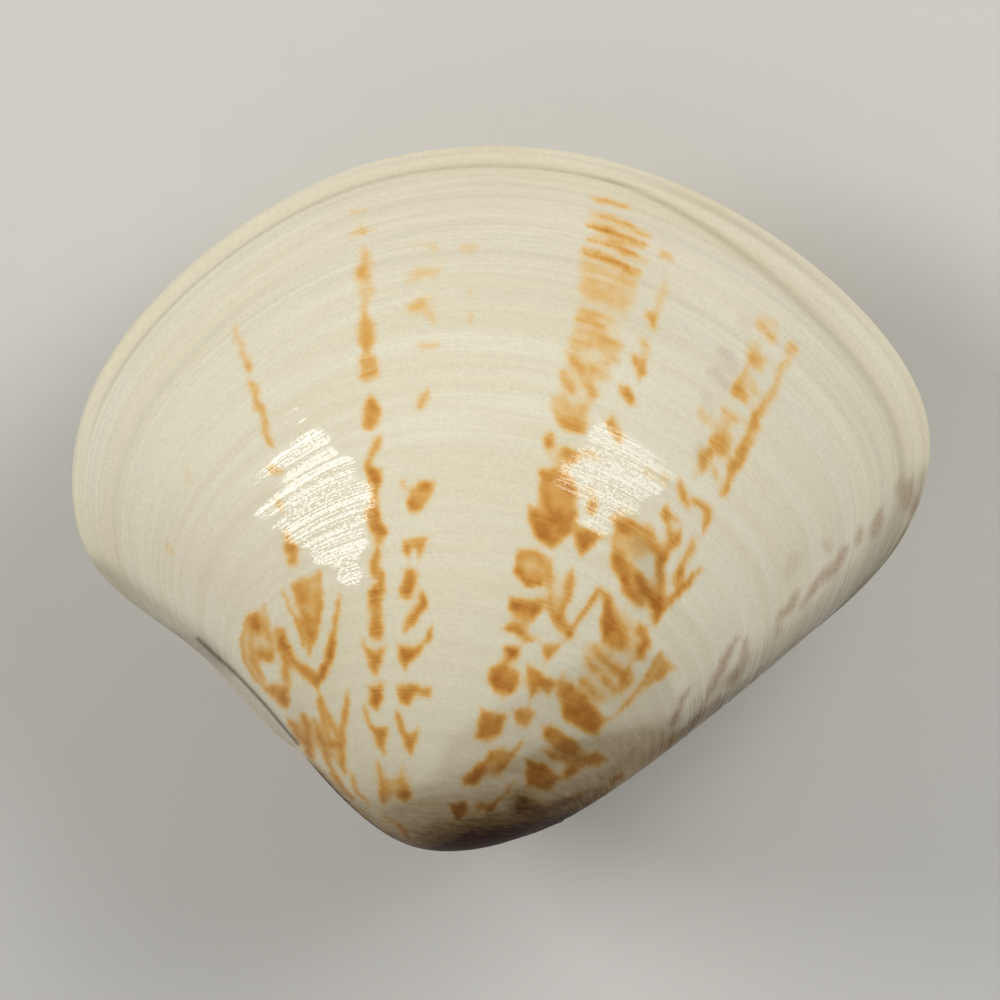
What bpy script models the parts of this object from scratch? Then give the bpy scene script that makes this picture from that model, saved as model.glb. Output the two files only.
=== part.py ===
"""A closed bivalve seashell, lying at rest on its left valve.

Each valve follows the growth law of a shell: the outline of the seam, shrinking steadily while it
turns about the hinge line, sweeps the whole outer surface back to the beak. The valves are mirror
images across the seam. A brown ligament lies behind the beaks, along the seam.

The shell's own frame has x towards the rear end, y towards the belly edge and z out of the right
valve, with the hinge pole at its origin. An empty turns that frame into the resting position.
"""

import math

import bmesh
import bpy
import numpy as np
from mathutils import Euler, Vector

MM = 0.001

# Seam outline in millimetres, from the hinge pole round the rear end, the belly edge and the front end.
SEAM_OUTLINE = (
    (0.0, 0.0), (5.96, -0.3), (9.28, 2.04), (15.06, 6.42), (20.7, 11.6), (22.3, 16.1), (21.2, 20.0),
    (16.3, 25.2), (8.8, 29.2), (1.3, 30.3), (-6.1, 28.7), (-12.7, 24.3), (-16.6, 19.3), (-17.7, 14.7),
    (-16.4, 10.4), (-11.7, 6.6), (-7.3, 2.2), (0.0, 0.0),
)

# Growth of the outer surface, angles in radians
TAPER_RATE = 0.84  # shrinkage of the outline for each radian turned back towards the beak
TURN = 2.71  # from the seam to the tip of the beak
TIP_SHARPNESS = 6.0
TIP_ROUNDNESS = 0.735
HINGE_SLOPE = -0.171  # of the hinge line, in the seam's plane
BEAK_SHIFT = (-1.1, -0.2, 0.63)  # from the hinge pole to the tip, in millimetres

# Swelling of the rear flank, which overhangs the seam on the hinge side
FLANK_SWELL = 1.14  # millimetres
FLANK_CENTRE = (20.0, 9.8)  # point of the seam outline that swells most
FLANK_REACH = 5.6
FLANK_STAGE = 0.64  # growth angle of the fullest ring, in radians
FLANK_HEADING = -38.4  # direction of the push, in degrees from the rear end

# Inside of a valve, millimetres
SEAM_GAP = 0.3
RIM_WIDTH = 2.0  # flat edge on which the valves meet
HINGE_PLATE = 4.4  # the same edge under the beaks
HINGE_REACH = 6.0  # how far along the seam the plate goes
BOWL_CENTRE = (1.6, 14.5)
BOWL_SHIFT = (0.4, -2.6)  # of the deepest point, towards the beaks
BOWL_DEPTH = 9.2
BOWL_FLATNESS = 2.3

# Ligament, millimetres
LIGAMENT_ENDS = (0.6, 5.2)  # along x
LIGAMENT_WIDTH = 1.5
LIGAMENT_HEIGHT = 0.7
LIGAMENT_CLEARANCE = 0.3  # from the seam

# Surfaces
SHELL_COLOUR = (0.68, 0.65, 0.49)
SHELL_ROUGHNESS = 0.25
LIGAMENT_COLOUR = (0.07, 0.035, 0.015)
LIGAMENT_ROUGHNESS = 0.5

# Rest on the left valve, degrees
REST_TILT = -7.3  # about x: the belly edge goes down
REST_LEAN = 4.2  # about y: the rear end goes down a little
REST_WEAR = 0.25  # depth of the worn flat spot that it lies on, in millimetres

# Mesh
ROUND_STEPS = 64
GROWTH_STEPS = 24
GROWTH_CROWDING = 1.4  # packs the growth steps towards the seam
BOWL_STEPS = 9
CURVE_STEPS = 40  # between two points of a curve
BAND_OUTLINE_STEPS = 512  # round the whole seam, to lay the ligament along it
BAND_SEGMENTS = 16
BAND_RINGS = 18
SHARP_ANGLE = 40.0  # degrees


def smooth_curve(points, count):
    """Points spaced evenly along a natural cubic spline through the given ones."""
    knots = np.array(points)
    chords = np.linalg.norm(np.diff(knots, axis=0), axis=1)
    at = np.concatenate([[0.0], np.cumsum(np.sqrt(chords))])
    step = np.diff(at)
    size = len(knots)
    matrix = np.eye(size)
    right = np.zeros_like(knots)
    for i in range(1, size - 1):
        matrix[i, i - 1 : i + 2] = (step[i - 1], 2.0 * (step[i - 1] + step[i]), step[i])
        rise = (knots[i + 1] - knots[i]) / step[i] - (knots[i] - knots[i - 1]) / step[i - 1]
        right[i] = 6.0 * rise
    bend = np.linalg.solve(matrix, right)

    def point(place):
        i = min(int(np.searchsorted(at, place, side="right")) - 1, size - 2)
        before = place - at[i]
        after = at[i + 1] - place
        curve = (bend[i] * after**3 + bend[i + 1] * before**3) / (6.0 * step[i])
        start = (knots[i] / step[i] - bend[i] * step[i] / 6.0) * after
        end = (knots[i + 1] / step[i] - bend[i + 1] * step[i] / 6.0) * before
        return curve + start + end

    fine = np.array([point(place) for place in np.linspace(0.0, at[-1], CURVE_STEPS * size)])
    length = np.concatenate([[0.0], np.cumsum(np.linalg.norm(np.diff(fine, axis=0), axis=1))])
    wanted = np.linspace(0.0, length[-1], count)
    return np.stack([np.interp(wanted, length, fine[:, axis]) for axis in range(2)], axis=1)


def growth_ring(outline, angle):
    """The seam outline as it was when the shell was younger, turned back by the angle."""
    size = math.exp(-TAPER_RATE * angle) * (1.0 - (angle / TURN) ** TIP_SHARPNESS) ** TIP_ROUNDNESS
    hinge = Vector((math.cos(HINGE_SLOPE), math.sin(HINGE_SLOPE), 0.0))
    shift = Vector(BEAK_SHIFT) * (1.0 - size) ** 2
    stage = angle / FLANK_STAGE
    heading = math.radians(FLANK_HEADING)
    swell = Vector((math.cos(heading), math.sin(heading), 0.0)) * FLANK_SWELL * stage * math.exp(1.0 - stage)
    ring = []
    for x, y in outline:
        point = Vector((x, y, 0.0))
        along = hinge * point.dot(hinge)
        across = point - along
        turned = across * math.cos(angle) + hinge.cross(point) * math.sin(angle)
        near_flank = math.exp(-((math.dist((x, y), FLANK_CENTRE) / FLANK_REACH) ** 2))
        ring.append(shift + (along + turned) * size + swell * near_flank)
    return ring


def bowl_ring(outline, reach):
    """One ring of the inner bowl: reach 1 is the inner edge of the rim and 0 the deepest point."""
    centre = Vector((*BOWL_CENTRE, 0.0))
    middle = centre + Vector((*BOWL_SHIFT, 0.0)) * (1.0 - reach)
    depth = BOWL_DEPTH * (1.0 - reach**BOWL_FLATNESS)
    ring = []
    for x, y in outline:
        point = Vector((x, y, 0.0))
        near_hinge = math.exp(-((point.length / HINGE_REACH) ** 2))
        width = RIM_WIDTH + (HINGE_PLATE - RIM_WIDTH) * near_hinge
        spoke = point - centre
        inner = spoke * (1.0 - width / spoke.length)
        ring.append(middle + inner * reach + Vector((0.0, 0.0, depth)))
    return ring


def finish_mesh(shape, mesh):
    """Turns every face outwards and shades the mesh smooth up to its sharp edges."""
    bmesh.ops.recalc_face_normals(shape, faces=shape.faces)
    if shape.calc_volume(signed=True) < 0.0:
        bmesh.ops.reverse_faces(shape, faces=shape.faces)
    shape.to_mesh(mesh)
    shape.free()
    mesh.shade_smooth()
    mesh.set_sharp_from_angle(angle=math.radians(SHARP_ANGLE))


def valve_rings():
    """Every ring of the right valve in order, from the beak over the seam's edge into the bowl."""
    outline = smooth_curve(SEAM_OUTLINE, ROUND_STEPS + 1)[:-1]
    rings = [[Vector(BEAK_SHIFT)] * ROUND_STEPS]
    for i in range(GROWTH_STEPS - 1, -1, -1):
        rings.append(growth_ring(outline, TURN * (i / GROWTH_STEPS) ** GROWTH_CROWDING))
    for i in range(BOWL_STEPS, -1, -1):
        rings.append(bowl_ring(outline, i / BOWL_STEPS))
    lift = Vector((0.0, 0.0, SEAM_GAP / 2.0))
    return [[(point + lift) * MM for point in ring] for ring in rings]


def wear_flat(shape, turn):
    """Cuts the fullest point off level, where the shell lies when it is turned to rest."""
    down = turn.inverted() @ Vector((0.0, 0.0, -1.0))
    fullest = max(vertex.co.dot(down) for vertex in shape.verts)
    geometry = [*shape.verts, *shape.edges, *shape.faces]
    cut = bmesh.ops.bisect_plane(
        shape, geom=geometry, plane_co=down * (fullest - REST_WEAR * MM), plane_no=down, clear_outer=True
    )
    edges = [item for item in cut["geom_cut"] if isinstance(item, bmesh.types.BMEdge)]
    bmesh.ops.holes_fill(shape, edges=edges)


def valve(name, side, turn):
    """A UV sphere whose rings are moved onto the growth rings. Side is 1 for right and -1 for left."""
    rings = valve_rings()
    latitudes = len(rings) - 1
    mesh = bpy.data.meshes.new(name)
    shape = bmesh.new()
    bmesh.ops.create_uvsphere(shape, u_segments=ROUND_STEPS, v_segments=latitudes, radius=1.0)
    for vertex in shape.verts:
        x, y, z = vertex.co
        ring = round(math.acos(max(-1.0, min(1.0, z))) / math.pi * latitudes)
        spoke = round(math.atan2(y, x) / (2.0 * math.pi) * ROUND_STEPS) % ROUND_STEPS
        point = rings[ring][spoke]
        vertex.co = (point.x, point.y, point.z * side)
    if side < 0:
        wear_flat(shape, turn)
    finish_mesh(shape, mesh)
    return bpy.data.objects.new(name, mesh)


def ligament():
    """A rounded band along the seam behind the beaks, just outside the valves' edges."""
    outline = smooth_curve(SEAM_OUTLINE, BAND_OUTLINE_STEPS)
    start, end = LIGAMENT_ENDS
    rear = [point for point in outline[: BAND_OUTLINE_STEPS // 4] if start <= point[0] <= end]
    mesh = bpy.data.meshes.new("ligament")
    shape = bmesh.new()
    bmesh.ops.create_uvsphere(shape, u_segments=BAND_SEGMENTS, v_segments=BAND_RINGS, radius=1.0)
    for vertex in shape.verts:
        x, y, z = vertex.co
        place = (z + 1.0) / 2.0 * (len(rear) - 1)
        i = min(int(place), len(rear) - 2)
        here = Vector(rear[i]).lerp(Vector(rear[i + 1]), place - i)
        along = (Vector(rear[i + 1]) - Vector(rear[i])).normalized()
        out = Vector((along.y, -along.x))
        centre = here + out * (LIGAMENT_CLEARANCE + LIGAMENT_HEIGHT / 2.0)
        flat = centre + out * y * LIGAMENT_HEIGHT / 2.0
        vertex.co = Vector((flat.x, flat.y, x * LIGAMENT_WIDTH / 2.0)) * MM
    finish_mesh(shape, mesh)
    return bpy.data.objects.new("ligament", mesh)


def material(name, colour, roughness):
    made = bpy.data.materials.new(name)
    made.use_nodes = True
    shader = made.node_tree.nodes["Principled BSDF"]
    shader.inputs["Base Color"].default_value = (*colour, 1.0)
    shader.inputs["Roughness"].default_value = roughness
    shader.inputs["Metallic"].default_value = 0.0
    return made


def settle(parent, pieces):
    """Puts the resting shell's lowest point at height 0, over the middle of its box."""
    turn = parent.rotation_euler.to_matrix()
    points = [turn @ vertex.co for piece in pieces for vertex in piece.data.vertices]
    low = Vector([min(point[axis] for point in points) for axis in range(3)])
    high = Vector([max(point[axis] for point in points) for axis in range(3)])
    middle = (low + high) / 2.0
    parent.location = (-middle.x, -middle.y, -low.z)


def main():
    for old in list(bpy.data.objects):
        bpy.data.objects.remove(old, do_unlink=True)
    collection = bpy.data.collections.new("tivela_fulminata_shell")
    bpy.context.scene.collection.children.link(collection)

    rest = bpy.data.objects.new("rest", None)
    rest.rotation_euler = Euler((math.radians(REST_TILT), math.radians(REST_LEAN), 0.0))
    collection.objects.link(rest)

    turn = rest.rotation_euler.to_matrix()
    right = valve("right_valve", 1, turn)
    left = valve("left_valve", -1, turn)
    band = ligament()
    right.data.materials.append(material("right_valve_shell", SHELL_COLOUR, SHELL_ROUGHNESS))
    left.data.materials.append(material("left_valve_shell", SHELL_COLOUR, SHELL_ROUGHNESS))
    band.data.materials.append(material("ligament_horn", LIGAMENT_COLOUR, LIGAMENT_ROUGHNESS))
    for piece in (right, left, band):
        collection.objects.link(piece)
        piece.parent = rest
    settle(rest, (right, left, band))


main()
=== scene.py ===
import math

import bpy
import numpy as np
from mathutils import Euler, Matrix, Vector


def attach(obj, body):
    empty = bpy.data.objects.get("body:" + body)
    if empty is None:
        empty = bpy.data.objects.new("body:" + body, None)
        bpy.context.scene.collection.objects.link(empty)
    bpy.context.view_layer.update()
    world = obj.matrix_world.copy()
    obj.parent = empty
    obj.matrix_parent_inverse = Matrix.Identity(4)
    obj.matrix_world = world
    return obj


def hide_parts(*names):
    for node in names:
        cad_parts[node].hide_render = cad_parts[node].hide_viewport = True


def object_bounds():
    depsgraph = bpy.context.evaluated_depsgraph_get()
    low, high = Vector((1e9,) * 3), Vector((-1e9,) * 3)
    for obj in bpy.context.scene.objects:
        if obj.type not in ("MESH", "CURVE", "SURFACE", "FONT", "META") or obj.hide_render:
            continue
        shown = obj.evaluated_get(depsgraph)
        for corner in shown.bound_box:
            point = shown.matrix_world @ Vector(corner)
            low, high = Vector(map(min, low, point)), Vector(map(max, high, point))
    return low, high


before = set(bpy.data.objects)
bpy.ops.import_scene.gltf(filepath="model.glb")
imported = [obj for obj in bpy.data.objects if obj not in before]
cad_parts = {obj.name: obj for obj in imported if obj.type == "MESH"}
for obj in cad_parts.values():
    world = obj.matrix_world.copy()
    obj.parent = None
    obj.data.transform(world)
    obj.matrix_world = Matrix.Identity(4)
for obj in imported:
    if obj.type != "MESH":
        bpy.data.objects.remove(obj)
cadLow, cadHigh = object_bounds()
mm = 0.001
print("frame loaded, box in mm:", [round((high - low) / mm, 2) for low, high in zip(cadLow, cadHigh)])

# the shell's form, in millimetres and radians: x to the rear end, y to the belly edge, z out of the valve
shellForm = {
    "seamOutline": (
        (0.0, 0.0), (5.96, -0.3), (9.28, 2.04), (15.06, 6.42), (20.7, 11.6), (22.3, 16.1), (21.2, 20.0),
        (16.3, 25.2), (8.8, 29.2), (1.3, 30.3), (-6.1, 28.7), (-12.7, 24.3), (-16.6, 19.3), (-17.7, 14.7),
        (-16.4, 10.4), (-11.7, 6.6), (-7.3, 2.2), (0.0, 0.0),
    ),
    "taperRate": 0.84,
    "turn": 2.71,
    "tipSharpness": 6.0,
    "tipRoundness": 0.735,
    "hingeSlope": -0.171,
    "beakShift": (-1.1, -0.2, 0.63),
    "flankSwell": 1.14,  # the rear flank overhangs the seam on the hinge side
    "flankCentre": (20.0, 9.8),
    "flankReach": 5.6,
    "flankStage": 0.64,
    "flankHeading": -38.4,
    "restTilt": -7.3,  # degrees, the belly edge goes down
    "restLean": 4.2,
}

# the fine mesh and the inside of a valve
valveForm = {
    "spokes": 400,
    "bellyCrowding": 0.35,
    "growthSteps": 222,
    "crowding": 1.3,
    "rimSteps": 3,
    "bowlSteps": 12,
    "seamGap": 0.06,
    "rimWidth": 2.0,
    "hingePlate": 4.4,
    "hingeReach": 6.0,
    "bowlCentre": (1.6, 14.5),
    "bowlShift": (0.4, -2.6),
    "bowlDepth": 9.2,
    "bowlFlatness": 2.3,
}

# the camera stands square to the seam, and a picture point is worked out from the same numbers
cameraForm = {
    "away": 400.0,  # mm from the seam's plane
    "aim": (2.263, 13.805),  # mm, the point of the seam's plane in the middle of the picture
    "pictureWidth": 46.67,  # mm across at the seam's plane
    "pictureSide": 1000.0,
    "sensor": 36.0,
}


def smoothCurve(points, count):
    # evenly spaced points on a natural cubic spline through the given ones
    knots = np.array(points)
    chords = np.linalg.norm(np.diff(knots, axis=0), axis=1)
    at = np.concatenate([[0.0], np.cumsum(np.sqrt(chords))])
    step = np.diff(at)
    size = len(knots)
    matrix = np.eye(size)
    right = np.zeros_like(knots)
    for i in range(1, size - 1):
        matrix[i, i - 1 : i + 2] = (step[i - 1], 2.0 * (step[i - 1] + step[i]), step[i])
        rise = (knots[i + 1] - knots[i]) / step[i] - (knots[i] - knots[i - 1]) / step[i - 1]
        right[i] = 6.0 * rise
    bend = np.linalg.solve(matrix, right)
    place = np.linspace(0.0, at[-1], 60 * size)
    i = np.clip(np.searchsorted(at, place, side="right") - 1, 0, size - 2)
    before = (place - at[i])[:, None]
    after = (at[i + 1] - place)[:, None]
    wide = step[i][:, None]
    fine = (bend[i] * after**3 + bend[i + 1] * before**3) / (6.0 * wide)
    fine = fine + (knots[i] / wide - bend[i] * wide / 6.0) * after
    fine = fine + (knots[i + 1] / wide - bend[i + 1] * wide / 6.0) * before
    length = np.concatenate([[0.0], np.cumsum(np.linalg.norm(np.diff(fine, axis=0), axis=1))])
    wanted = np.linspace(0.0, length[-1], count)
    return np.stack([np.interp(wanted, length, fine[:, axis]) for axis in range(2)], axis=1)


def seamPoints(count):
    # points round the seam, closer together along the belly edge, where the markings are
    many = smoothCurve(shellForm["seamOutline"], 40 * count)
    t = np.linspace(0.0, 1.0, count + 1)[:-1]
    t = t + valveForm["bellyCrowding"] / (2.0 * math.pi) * np.sin(2.0 * math.pi * t)
    place = t * (len(many) - 1)
    return np.stack([np.interp(place, np.arange(len(many)), many[:, axis]) for axis in range(2)], axis=1)


def growthRing(outline, angle):
    # the seam outline as it was when the shell was younger, turned back by the angle
    form = shellForm
    size = math.exp(-form["taperRate"] * angle)
    size *= max(0.0, 1.0 - (angle / form["turn"]) ** form["tipSharpness"]) ** form["tipRoundness"]
    hinge = np.array([math.cos(form["hingeSlope"]), math.sin(form["hingeSlope"]), 0.0])
    points = np.column_stack([outline, np.zeros(len(outline))])
    along = np.outer(points @ hinge, hinge)
    turned = (points - along) * math.cos(angle) + np.cross(hinge, points) * math.sin(angle)
    stage = angle / form["flankStage"]
    nearFlank = np.exp(-((np.linalg.norm(outline - form["flankCentre"], axis=1) / form["flankReach"]) ** 2))
    swell = form["flankSwell"] * stage * math.exp(1.0 - stage) * nearFlank
    heading = math.radians(form["flankHeading"])
    swell = np.outer(swell, (math.cos(heading), math.sin(heading), 0.0))
    return np.array(form["beakShift"]) * (1.0 - size) ** 2 + (along + turned) * size + swell


def bowlRing(outline, reach):
    # reach 1 is the inner edge of the rim and 0 the deepest point of the bowl
    form = valveForm
    centre = np.array(form["bowlCentre"])
    nearHinge = np.exp(-((np.linalg.norm(outline, axis=1) / form["hingeReach"]) ** 2))
    width = form["rimWidth"] + (form["hingePlate"] - form["rimWidth"]) * nearHinge
    spoke = outline - centre
    inner = spoke * (1.0 - width / np.linalg.norm(spoke, axis=1))[:, None]
    flat = centre + np.array(form["bowlShift"]) * (1.0 - reach) + inner * reach
    depth = form["bowlDepth"] * (1.0 - reach ** form["bowlFlatness"])
    return np.column_stack([flat, np.full(len(flat), depth)])


def smoothStep(low, high, value):
    t = np.clip((value - low) / (high - low), 0.0, 1.0)
    return t * t * (3.0 - 2.0 * t)


def picturePlace(points):
    # where the camera sees a point given in the shell's own millimetres
    form = cameraForm
    nearer = form["away"] / (form["away"] - points[..., 2])
    scale = form["pictureSide"] / form["pictureWidth"]
    across = form["pictureSide"] / 2.0 + (points[..., 0] - form["aim"][0]) * nearer * scale
    down = form["pictureSide"] / 2.0 - (points[..., 1] - form["aim"][1]) * nearer * scale
    return np.stack([across, down], axis=-1)


def gridNormals(grid):
    # outward normals of a grid of rings that close round
    downRing = np.gradient(grid, axis=0)
    around = (np.roll(grid, -1, axis=1) - np.roll(grid, 1, axis=1)) / 2.0
    normal = np.cross(downRing, around)
    length = np.linalg.norm(normal, axis=-1, keepdims=True)
    return normal / np.maximum(length, 1e-9)


def lineDistance(places, points, taper=0.0):
    # distance from each place to a line drawn through the points, which a taper thins towards both ends
    best = np.full(len(places), 1e9)
    if len(points) == 1:
        return np.linalg.norm(places - points[0], axis=1)
    lengths = np.linalg.norm(np.diff(points, axis=0), axis=1)
    passed = 0.0
    for start, end, length in zip(points[:-1], points[1:], lengths):
        run = end - start
        share = np.clip(((places - start) @ run) / (run @ run), 0.0, 1.0)
        middle = np.abs((passed + share * length) / lengths.sum() * 2.0 - 1.0)
        away = np.linalg.norm(places - start - share[:, None] * run, axis=1)
        best = np.minimum(best, away + taper * middle**3)
        passed += length
    return best


def patchDistance(places, points):
    # distance to the outline of a patch, below zero inside it
    closed = np.vstack([points, points[:1]])
    inside = np.zeros(len(places), dtype=bool)
    for (x0, y0), (x1, y1) in zip(closed[:-1], closed[1:]):
        if y0 == y1:
            continue
        spans = (places[:, 1] > min(y0, y1)) & (places[:, 1] <= max(y0, y1))
        inside ^= spans & (places[:, 0] < x0 + (places[:, 1] - y0) * (x1 - x0) / (y1 - y0))
    away = lineDistance(places, closed)
    return np.where(inside, -away, away)


# relief of the outside, in millimetres
relief = {
    "haltBack": 0.034,  # radians of growth between the seam and the groove where growth once halted
    "haltBackRear": 0.078,
    "haltDepth": 0.085,
    "haltShallow": 0.3,  # share of its depth that the groove loses towards the rear
    "haltWidth": 0.0045,
    "haltWidthRear": 0.02,
    "haltFront": (15.5, 20.0),  # the groove fades out between these heights on the front side
    "rearAlong": (6.0, 21.0),  # the rear side comes in between these places along the shell
    "rearUp": (2.0, 12.0),  # and between these from the hinge to the belly
    "lipSwell": 0.075,  # of the last band, between the groove and the seam
    "lipReach": 1.5,  # widths of the groove, on each side of it, over which the band swells
    "lipFront": 0.1,  # share of the swelling on the front side
    "lipAtSeam": 0.35,
    "edgeLine": 0.02,  # radians between the seam and a faint line on the rear part of the last band
    "edgeFade": (0.0, 0.006),  # radians between the seam and a faint line of painted shade on the rear part of the last band
    "hingeFade": (2.0, 9.0),  # and millimetres from the hinge
    "waves": ((0.45, 0.006), (1.1, 0.003), (2.3, 0.002)),  # waves for each millimetre of growth, and height
    "waveShift": 1.7,
    "lunuleDepth": 0.07,
    "lunuleWidth": 2.2,  # pixels
    "lunuleEdge": 1.5,
    "lunuleUnder": -0.3,  # faces that look further down have no lunule
}

# the lunule, a narrow field in front of the beaks, in picture pixels: the incised line round it, and the
# corners that close the field outside the shell
lunuleLine = (
    (198, 639), (214, 654), (230, 668), (243, 681), (255, 694), (266, 706), (277, 719), (287, 731),
    (298, 744),
)
lunuleCorners = ((270, 790), (150, 700), (150, 620))


def lunulePlace(rings):
    # distance from the lunule's line in pixels, and 1 inside the lunule
    form = relief
    flat = picturePlace(rings).reshape(-1, 2)
    line = np.array(lunuleLine, dtype=float)
    toLine = lineDistance(flat, line).reshape(rings.shape[:2])
    inside = patchDistance(flat, np.vstack([line, lunuleCorners])).reshape(rings.shape[:2])
    field = smoothStep(form["lunuleEdge"], -form["lunuleEdge"], inside)
    under = gridNormals(rings)[..., 2] < form["lunuleUnder"]
    return np.where(under, 99.0, toLine), np.where(under, 0.0, field)


def haltPlace(outline):
    # growth angle and width of the halt groove at each point of the seam, how far to the rear that is,
    # and how much of the groove the front side has
    form = relief
    rear = smoothStep(*form["rearAlong"], outline[:, 0]) * smoothStep(*form["rearUp"], outline[:, 1])
    halt = form["haltBack"] + (form["haltBackRear"] - form["haltBack"]) * rear
    width = form["haltWidth"] + (form["haltWidthRear"] - form["haltWidth"]) * rear
    onFront = np.where(outline[:, 0] < 0.0, smoothStep(*form["haltFront"], outline[:, 1]), 1.0)
    return halt, width, rear, onFront


def shapeOutside(rings, angles, outline):
    # adds the halt groove, the swollen last band and the faint waves of growth
    form = relief
    halt, width, rear, onFront = haltPlace(outline)
    reach = np.linalg.norm(outline, axis=1)
    fade = smoothStep(*form["hingeFade"], reach)
    angle = angles[:, None]
    depth = form["haltDepth"] * (1.0 - form["haltShallow"] * rear)
    groove = -depth * np.exp(-(((angle - halt) / width) ** 2))
    swollen = form["lipReach"] * width
    lip = form["lipSwell"] * smoothStep(halt + swollen, halt - swollen, angle)
    groove = groove * onFront
    lip = lip * (form["lipFront"] + (1.0 - form["lipFront"]) * onFront)
    back = angle * reach.max()
    wave = 0.0
    for k, (pitch, high) in enumerate(form["waves"]):
        wave = wave + high * np.sin(2.0 * math.pi * pitch * back + form["waveShift"] * k)
    shrink = np.exp(-shellForm["taperRate"] * angle)
    atEdge = smoothStep(*form["edgeFade"], angle)
    band = lip * (form["lipAtSeam"] + (1.0 - form["lipAtSeam"]) * atEdge)
    height = (groove + band) * fade + wave * fade * np.minimum(1.0, 2.0 * shrink) * atEdge
    toLine, _ = lunulePlace(rings)
    height = height - form["lunuleDepth"] * np.exp(-((toLine / form["lunuleWidth"]) ** 2))
    return rings + gridNormals(rings) * height[..., None]


def valveGrid():
    # rings of the right valve from the beak over the seam's edge into the bowl
    form = valveForm
    outline = seamPoints(form["spokes"])
    steps = np.arange(form["growthSteps"] - 1, -1, -1)
    angles = shellForm["turn"] * (steps / form["growthSteps"]) ** form["crowding"]
    outside = np.array([growthRing(outline, angle) for angle in angles])
    outside = shapeOutside(outside, angles, outline)
    edge = outside[-1]
    innerEdge = bowlRing(outline, 1.0)
    rim = [edge + (innerEdge - edge) * (i / form["rimSteps"]) for i in range(1, form["rimSteps"])]
    bowl = [bowlRing(outline, i / form["bowlSteps"]) for i in range(form["bowlSteps"], -1, -1)]
    tip = np.tile(np.array(shellForm["beakShift"]), (1, len(outline), 1))
    grid = np.concatenate([tip, outside, np.array(rim), np.array(bowl)])
    grid[:, :, 2] += form["seamGap"] / 2.0
    inside = np.zeros(len(grid) - len(angles) - 1)
    return grid, np.concatenate([[shellForm["turn"]], angles, inside]), outline


restAngles = (math.radians(shellForm["restTilt"]), math.radians(shellForm["restLean"]), 0.0)
restTurn = Euler(restAngles).to_matrix()
shellGrid, growthAngles, seamOutline = valveGrid()
ringCount = len(shellGrid)
outerCount = valveForm["growthSteps"] + 1
print("valve grid:", shellGrid.shape)


def restShift(grid):
    # lays the turned shell on the ground, with the middle of its box where the frame has it
    turn = np.array(restTurn)
    both = np.concatenate([grid.reshape(-1, 3), grid.reshape(-1, 3) * (1.0, 1.0, -1.0)]) @ turn.T
    middle = (both.max(axis=0) + both.min(axis=0)) / 2.0
    frameMiddle = np.array([(low + high) / 2.0 / mm for low, high in zip(cadLow, cadHigh)])
    top = cadHigh[2] / mm - both[:, 2].max()
    return np.array([frameMiddle[0] - middle[0], frameMiddle[1] - middle[1], top])


shellShift = restShift(shellGrid)
print("rest place in mm:", shellShift.round(3))


def toWorld(points):
    return (points @ np.array(restTurn).T + shellShift) * mm


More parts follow.
